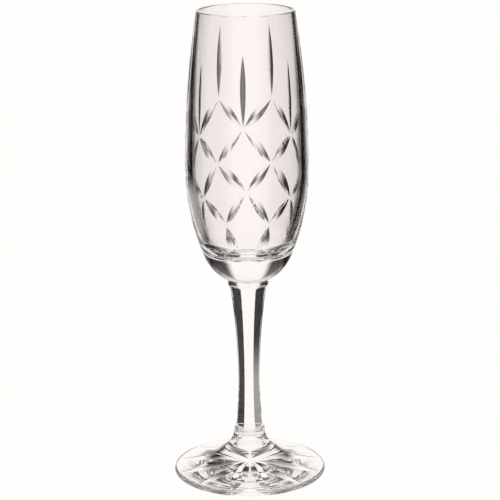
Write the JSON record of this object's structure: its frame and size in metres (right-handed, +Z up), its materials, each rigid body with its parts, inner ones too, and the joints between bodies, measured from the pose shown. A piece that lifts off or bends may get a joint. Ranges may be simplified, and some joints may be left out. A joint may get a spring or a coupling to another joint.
{
  "type": "champagne flute",
  "caption": "Tall cut crystal champagne flute: egg-shaped bowl with a wheel-cut diamond lattice behind a plain panel, faceted stem and star-cut foot.",
  "frame": {"origin": "centre of the foot's underside, on the table", "axes": "+Z up along the axis of the glass, -Y toward the plain panel of the bowl, +X to the right of a viewer who faces that panel"},
  "size_m": [0.07, 0.07, 0.215],
  "materials": {
    "bowl_crystal": "polished cut crystal",
    "stem_crystal": "polished cut crystal",
    "foot_crystal": "polished cut crystal"
  },
  "bodies": {
    "root": {"bowl": "bowl_crystal", "stem": "stem_crystal", "foot": "foot_crystal"}
  },
  "joints": []
}
